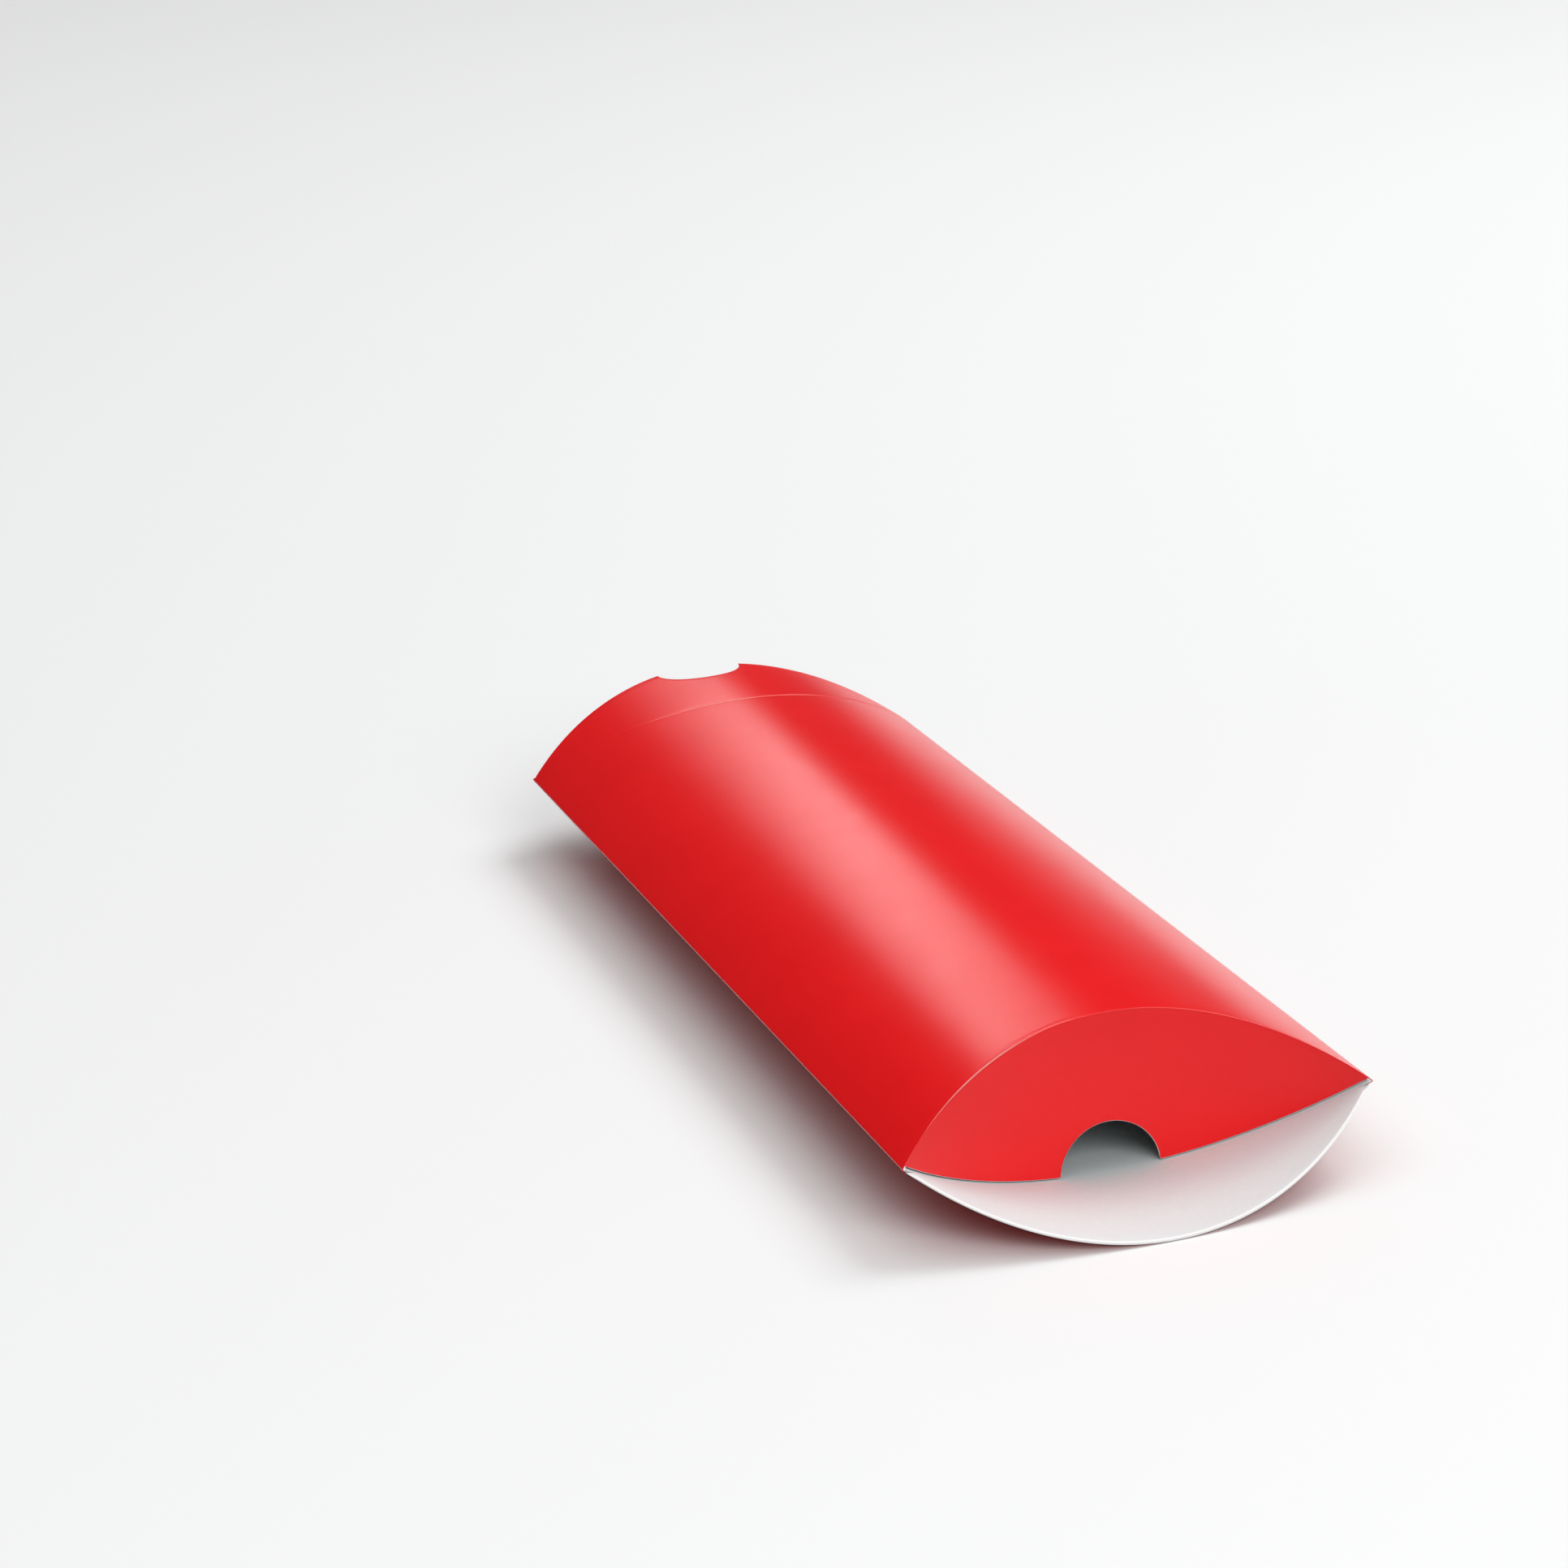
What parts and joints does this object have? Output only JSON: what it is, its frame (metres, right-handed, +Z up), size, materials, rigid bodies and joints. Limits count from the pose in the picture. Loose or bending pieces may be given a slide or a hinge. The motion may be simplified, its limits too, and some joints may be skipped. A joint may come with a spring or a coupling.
{
  "type": "pillow box",
  "caption": "Pillow-shaped gift box of red coated board, white inside, with bowed panels, folding lens-shaped end flaps and thumb notches.",
  "frame": {"origin": "on the surface that the box lies on, under the middle of its length and width", "axes": "X across the box, Y along it from the near end to the far end, Z up"},
  "size_m": [0.07, 0.2231, 0.025],
  "materials": {
    "red_board": "satin coated",
    "seam_glue": "dried glue"
  },
  "bodies": {
    "box": {"upper_panel": "red_board", "lower_panel": "red_board", "glue_tab": "red_board", "seam_glue": "seam_glue"},
    "near_thumb_flap_strip_1": {"near_thumb_flap_strip_1": "red_board"},
    "near_thumb_flap_strip_2": {"near_thumb_flap_strip_2": "red_board"},
    "near_thumb_flap_strip_3": {"near_thumb_flap_strip_3": "red_board"},
    "near_thumb_flap_strip_4": {"near_thumb_flap_strip_4": "red_board"},
    "near_thumb_flap_strip_5": {"near_thumb_flap_strip_5": "red_board"},
    "near_thumb_flap_strip_6": {"near_thumb_flap_strip_6": "red_board"},
    "near_thumb_flap_strip_7": {"near_thumb_flap_strip_7": "red_board"},
    "near_plain_flap_strip_1": {"near_plain_flap_strip_1": "red_board"},
    "near_plain_flap_strip_2": {"near_plain_flap_strip_2": "red_board"},
    "near_plain_flap_strip_3": {"near_plain_flap_strip_3": "red_board"},
    "near_plain_flap_strip_4": {"near_plain_flap_strip_4": "red_board"},
    "near_plain_flap_strip_5": {"near_plain_flap_strip_5": "red_board"},
    "near_plain_flap_strip_6": {"near_plain_flap_strip_6": "red_board"},
    "near_plain_flap_strip_7": {"near_plain_flap_strip_7": "red_board"},
    "far_thumb_flap_strip_1": {"far_thumb_flap_strip_1": "red_board"},
    "far_thumb_flap_strip_2": {"far_thumb_flap_strip_2": "red_board"},
    "far_thumb_flap_strip_3": {"far_thumb_flap_strip_3": "red_board"},
    "far_thumb_flap_strip_4": {"far_thumb_flap_strip_4": "red_board"},
    "far_thumb_flap_strip_5": {"far_thumb_flap_strip_5": "red_board"},
    "far_thumb_flap_strip_6": {"far_thumb_flap_strip_6": "red_board"},
    "far_thumb_flap_strip_7": {"far_thumb_flap_strip_7": "red_board"},
    "far_plain_flap_strip_1": {"far_plain_flap_strip_1": "red_board"},
    "far_plain_flap_strip_2": {"far_plain_flap_strip_2": "red_board"},
    "far_plain_flap_strip_3": {"far_plain_flap_strip_3": "red_board"},
    "far_plain_flap_strip_4": {"far_plain_flap_strip_4": "red_board"},
    "far_plain_flap_strip_5": {"far_plain_flap_strip_5": "red_board"},
    "far_plain_flap_strip_6": {"far_plain_flap_strip_6": "red_board"},
    "far_plain_flap_strip_7": {"far_plain_flap_strip_7": "red_board"}
  },
  "joints": [
    {"name": "near_thumb_flap_fold", "type": "hinge", "parent": "box", "child": "near_thumb_flap_strip_4", "pos_m": [0, -0.0875, 0.025], "axis": [-1, 0, 0], "range_deg": [0, 92.5], "deforming": ["near_thumb_flap_strip_1", "near_thumb_flap_strip_2", "near_thumb_flap_strip_3", "near_thumb_flap_strip_5", "near_thumb_flap_strip_6", "near_thumb_flap_strip_7"]},
    {"name": "near_thumb_flap_bend_5", "type": "hinge", "parent": "near_thumb_flap_strip_4", "child": "near_thumb_flap_strip_5", "pos_m": [0.00541, -0.08777, 0.02473], "axis": [0, -0.0436, 0.999], "range_deg": [0, 22.51]},
    {"name": "near_thumb_flap_bend_6", "type": "hinge", "parent": "near_thumb_flap_strip_5", "child": "near_thumb_flap_strip_6", "pos_m": [0.01601, -0.08987, 0.02263], "axis": [0, -0.0436, 0.999], "range_deg": [0, 22.51]},
    {"name": "near_thumb_flap_bend_7", "type": "hinge", "parent": "near_thumb_flap_strip_6", "child": "near_thumb_flap_strip_7", "pos_m": [0.026, -0.094, 0.0185], "axis": [0, -0.0436, 0.999], "range_deg": [0, 22.51]},
    {"name": "near_thumb_flap_bend_3", "type": "hinge", "parent": "near_thumb_flap_strip_4", "child": "near_thumb_flap_strip_3", "pos_m": [-0.00541, -0.08777, 0.02473], "axis": [0, 0.0436, -0.999], "range_deg": [0, 22.51]},
    {"name": "near_thumb_flap_bend_2", "type": "hinge", "parent": "near_thumb_flap_strip_3", "child": "near_thumb_flap_strip_2", "pos_m": [-0.01601, -0.08987, 0.02263], "axis": [0, 0.0436, -0.999], "range_deg": [0, 22.51]},
    {"name": "near_thumb_flap_bend_1", "type": "hinge", "parent": "near_thumb_flap_strip_2", "child": "near_thumb_flap_strip_1", "pos_m": [-0.026, -0.094, 0.0185], "axis": [0, 0.0436, -0.999], "range_deg": [0, 22.51]},
    {"name": "near_plain_flap_fold", "type": "hinge", "parent": "box", "child": "near_plain_flap_strip_4", "pos_m": [0, -0.0875, 0], "axis": [-1, 0, 0], "range_deg": [0, 87.5], "deforming": ["near_plain_flap_strip_1", "near_plain_flap_strip_2", "near_plain_flap_strip_3", "near_plain_flap_strip_5", "near_plain_flap_strip_6", "near_plain_flap_strip_7"]},
    {"name": "near_plain_flap_bend_5", "type": "hinge", "parent": "near_plain_flap_strip_4", "child": "near_plain_flap_strip_5", "pos_m": [0.00541, -0.08777, 0.00027], "axis": [0, 1, 0], "range_deg": [0, 22.51]},
    {"name": "near_plain_flap_bend_6", "type": "hinge", "parent": "near_plain_flap_strip_5", "child": "near_plain_flap_strip_6", "pos_m": [0.01601, -0.08987, 0.00237], "axis": [0, 1, 0], "range_deg": [0, 22.51]},
    {"name": "near_plain_flap_bend_7", "type": "hinge", "parent": "near_plain_flap_strip_6", "child": "near_plain_flap_strip_7", "pos_m": [0.026, -0.094, 0.0065], "axis": [0, 1, 0], "range_deg": [0, 22.51]},
    {"name": "near_plain_flap_bend_3", "type": "hinge", "parent": "near_plain_flap_strip_4", "child": "near_plain_flap_strip_3", "pos_m": [-0.00541, -0.08777, 0.00027], "axis": [0, -1, 0], "range_deg": [0, 22.51]},
    {"name": "near_plain_flap_bend_2", "type": "hinge", "parent": "near_plain_flap_strip_3", "child": "near_plain_flap_strip_2", "pos_m": [-0.01601, -0.08987, 0.00237], "axis": [0, -1, 0], "range_deg": [0, 22.51]},
    {"name": "near_plain_flap_bend_1", "type": "hinge", "parent": "near_plain_flap_strip_2", "child": "near_plain_flap_strip_1", "pos_m": [-0.026, -0.094, 0.0065], "axis": [0, -1, 0], "range_deg": [0, 22.51]},
    {"name": "far_thumb_flap_fold", "type": "hinge", "parent": "box", "child": "far_thumb_flap_strip_4", "pos_m": [0, 0.0875, 0.025], "axis": [-1, 0, 0], "range_deg": [0, 87.5], "deforming": ["far_thumb_flap_strip_1", "far_thumb_flap_strip_2", "far_thumb_flap_strip_3", "far_thumb_flap_strip_5", "far_thumb_flap_strip_6", "far_thumb_flap_strip_7"]},
    {"name": "far_thumb_flap_bend_5", "type": "hinge", "parent": "far_thumb_flap_strip_4", "child": "far_thumb_flap_strip_5", "pos_m": [0.00541, 0.08777, 0.02473], "axis": [0, -1, 0], "range_deg": [0, 22.51]},
    {"name": "far_thumb_flap_bend_6", "type": "hinge", "parent": "far_thumb_flap_strip_5", "child": "far_thumb_flap_strip_6", "pos_m": [0.01601, 0.08987, 0.02263], "axis": [0, -1, 0], "range_deg": [0, 22.51]},
    {"name": "far_thumb_flap_bend_7", "type": "hinge", "parent": "far_thumb_flap_strip_6", "child": "far_thumb_flap_strip_7", "pos_m": [0.026, 0.094, 0.0185], "axis": [0, -1, 0], "range_deg": [0, 22.51]},
    {"name": "far_thumb_flap_bend_3", "type": "hinge", "parent": "far_thumb_flap_strip_4", "child": "far_thumb_flap_strip_3", "pos_m": [-0.00541, 0.08777, 0.02473], "axis": [0, 1, 0], "range_deg": [0, 22.51]},
    {"name": "far_thumb_flap_bend_2", "type": "hinge", "parent": "far_thumb_flap_strip_3", "child": "far_thumb_flap_strip_2", "pos_m": [-0.01601, 0.08987, 0.02263], "axis": [0, 1, 0], "range_deg": [0, 22.51]},
    {"name": "far_thumb_flap_bend_1", "type": "hinge", "parent": "far_thumb_flap_strip_2", "child": "far_thumb_flap_strip_1", "pos_m": [-0.026, 0.094, 0.0185], "axis": [0, 1, 0], "range_deg": [0, 22.51]},
    {"name": "far_plain_flap_fold", "type": "hinge", "parent": "box", "child": "far_plain_flap_strip_4", "pos_m": [0, 0.0875, 0], "axis": [-1, 0, 0], "range_deg": [0, 92.5], "deforming": ["far_plain_flap_strip_1", "far_plain_flap_strip_2", "far_plain_flap_strip_3", "far_plain_flap_strip_5", "far_plain_flap_strip_6", "far_plain_flap_strip_7"]},
    {"name": "far_plain_flap_bend_5", "type": "hinge", "parent": "far_plain_flap_strip_4", "child": "far_plain_flap_strip_5", "pos_m": [0.00541, 0.08777, 0.00027], "axis": [0, 0.0436, -0.999], "range_deg": [0, 22.51]},
    {"name": "far_plain_flap_bend_6", "type": "hinge", "parent": "far_plain_flap_strip_5", "child": "far_plain_flap_strip_6", "pos_m": [0.01601, 0.08987, 0.00237], "axis": [0, 0.0436, -0.999], "range_deg": [0, 22.51]},
    {"name": "far_plain_flap_bend_7", "type": "hinge", "parent": "far_plain_flap_strip_6", "child": "far_plain_flap_strip_7", "pos_m": [0.026, 0.094, 0.0065], "axis": [0, 0.0436, -0.999], "range_deg": [0, 22.51]},
    {"name": "far_plain_flap_bend_3", "type": "hinge", "parent": "far_plain_flap_strip_4", "child": "far_plain_flap_strip_3", "pos_m": [-0.00541, 0.08777, 0.00027], "axis": [0, -0.0436, 0.999], "range_deg": [0, 22.51]},
    {"name": "far_plain_flap_bend_2", "type": "hinge", "parent": "far_plain_flap_strip_3", "child": "far_plain_flap_strip_2", "pos_m": [-0.01601, 0.08987, 0.00237], "axis": [0, -0.0436, 0.999], "range_deg": [0, 22.51]},
    {"name": "far_plain_flap_bend_1", "type": "hinge", "parent": "far_plain_flap_strip_2", "child": "far_plain_flap_strip_1", "pos_m": [-0.026, 0.094, 0.0065], "axis": [0, -0.0436, 0.999], "range_deg": [0, 22.51]}
  ],
  "couplings": [
    {"joint": "near_thumb_flap_bend_5", "follows": "near_thumb_flap_fold", "ratio": 0.24283},
    {"joint": "near_thumb_flap_bend_6", "follows": "near_thumb_flap_fold", "ratio": 0.24283},
    {"joint": "near_thumb_flap_bend_7", "follows": "near_thumb_flap_fold", "ratio": 0.24283},
    {"joint": "near_thumb_flap_bend_3", "follows": "near_thumb_flap_fold", "ratio": 0.24283},
    {"joint": "near_thumb_flap_bend_2", "follows": "near_thumb_flap_fold", "ratio": 0.24283},
    {"joint": "near_thumb_flap_bend_1", "follows": "near_thumb_flap_fold", "ratio": 0.24283},
    {"joint": "near_plain_flap_bend_5", "follows": "near_plain_flap_fold", "ratio": 0.2567},
    {"joint": "near_plain_flap_bend_6", "follows": "near_plain_flap_fold", "ratio": 0.2567},
    {"joint": "near_plain_flap_bend_7", "follows": "near_plain_flap_fold", "ratio": 0.2567},
    {"joint": "near_plain_flap_bend_3", "follows": "near_plain_flap_fold", "ratio": 0.2567},
    {"joint": "near_plain_flap_bend_2", "follows": "near_plain_flap_fold", "ratio": 0.2567},
    {"joint": "near_plain_flap_bend_1", "follows": "near_plain_flap_fold", "ratio": 0.2567},
    {"joint": "far_thumb_flap_bend_5", "follows": "far_thumb_flap_fold", "ratio": 0.2567},
    {"joint": "far_thumb_flap_bend_6", "follows": "far_thumb_flap_fold", "ratio": 0.2567},
    {"joint": "far_thumb_flap_bend_7", "follows": "far_thumb_flap_fold", "ratio": 0.2567},
    {"joint": "far_thumb_flap_bend_3", "follows": "far_thumb_flap_fold", "ratio": 0.2567},
    {"joint": "far_thumb_flap_bend_2", "follows": "far_thumb_flap_fold", "ratio": 0.2567},
    {"joint": "far_thumb_flap_bend_1", "follows": "far_thumb_flap_fold", "ratio": 0.2567},
    {"joint": "far_plain_flap_bend_5", "follows": "far_plain_flap_fold", "ratio": 0.24283},
    {"joint": "far_plain_flap_bend_6", "follows": "far_plain_flap_fold", "ratio": 0.24283},
    {"joint": "far_plain_flap_bend_7", "follows": "far_plain_flap_fold", "ratio": 0.24283},
    {"joint": "far_plain_flap_bend_3", "follows": "far_plain_flap_fold", "ratio": 0.24283},
    {"joint": "far_plain_flap_bend_2", "follows": "far_plain_flap_fold", "ratio": 0.24283},
    {"joint": "far_plain_flap_bend_1", "follows": "far_plain_flap_fold", "ratio": 0.24283}
  ]
}
